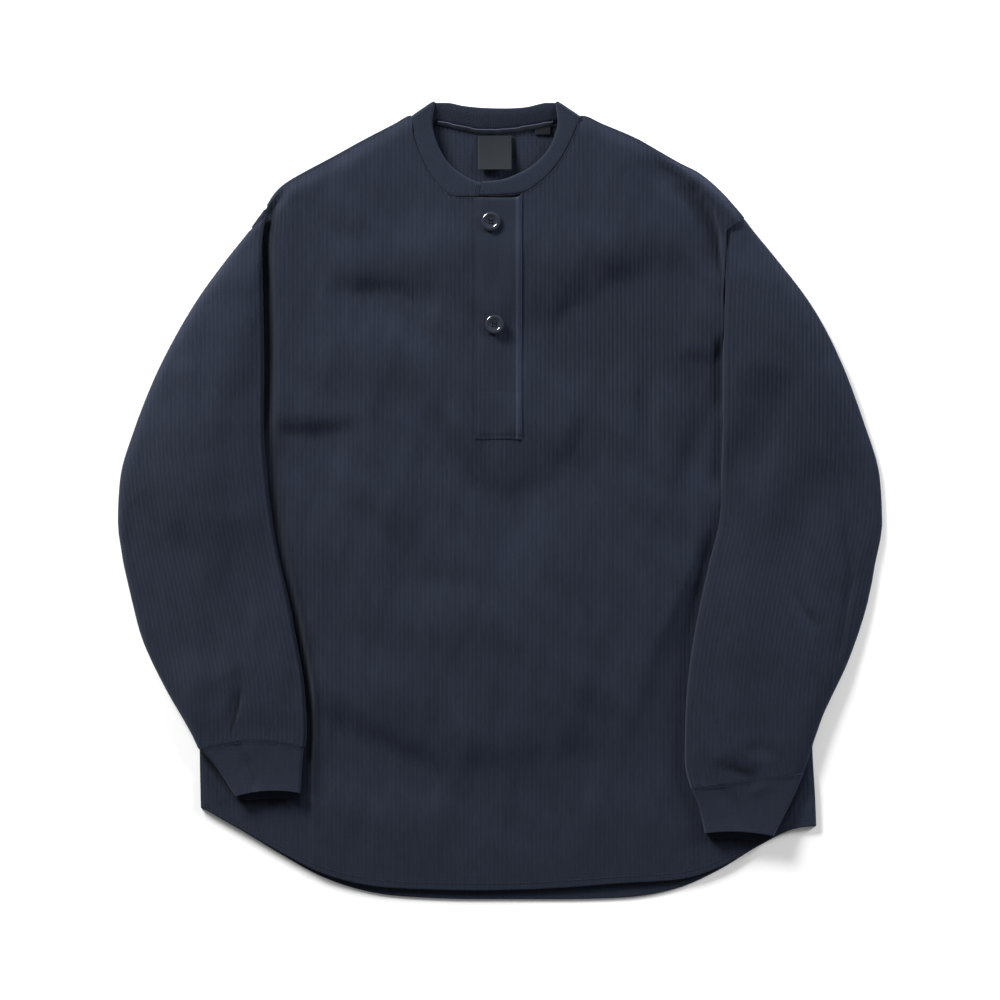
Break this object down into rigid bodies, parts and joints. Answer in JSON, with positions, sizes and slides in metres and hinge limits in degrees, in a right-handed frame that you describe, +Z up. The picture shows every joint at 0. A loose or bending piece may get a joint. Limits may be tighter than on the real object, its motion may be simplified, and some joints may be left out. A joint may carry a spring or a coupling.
{
  "type": "thermal top",
  "caption": "Collarless long-sleeved rib-knit thermal top with a buttoned neck placket, curved hem and ribbed cuffs, laid flat with its front up.",
  "frame": {"origin": "middle of the laid garment's box, on the surface that it lies on", "axes": "+Z up out of the front, +Y from the hem toward the neck, +X toward the viewer's right"},
  "size_m": [0.764, 0.7972, 0.0119],
  "materials": {
    "rib_knit": "matte vertical rib knit, deep navy",
    "smooth_rib": "matte fine rib, doubled, deep navy",
    "neck_tape": "narrow twill tape, navy",
    "label": "bare woven label, charcoal",
    "button": "polished, dark navy"
  },
  "bodies": {
    "root": {"back_panel": "rib_knit", "front_panel": "rib_knit", "left_sleeve": "rib_knit", "right_sleeve": "rib_knit", "left_cuff": "smooth_rib", "right_cuff": "smooth_rib", "neckband": "smooth_rib", "placket": "smooth_rib", "neck_tape": "neck_tape", "neck_label": "label", "size_tab": "label", "upper_button": "button", "lower_button": "button"}
  },
  "joints": []
}
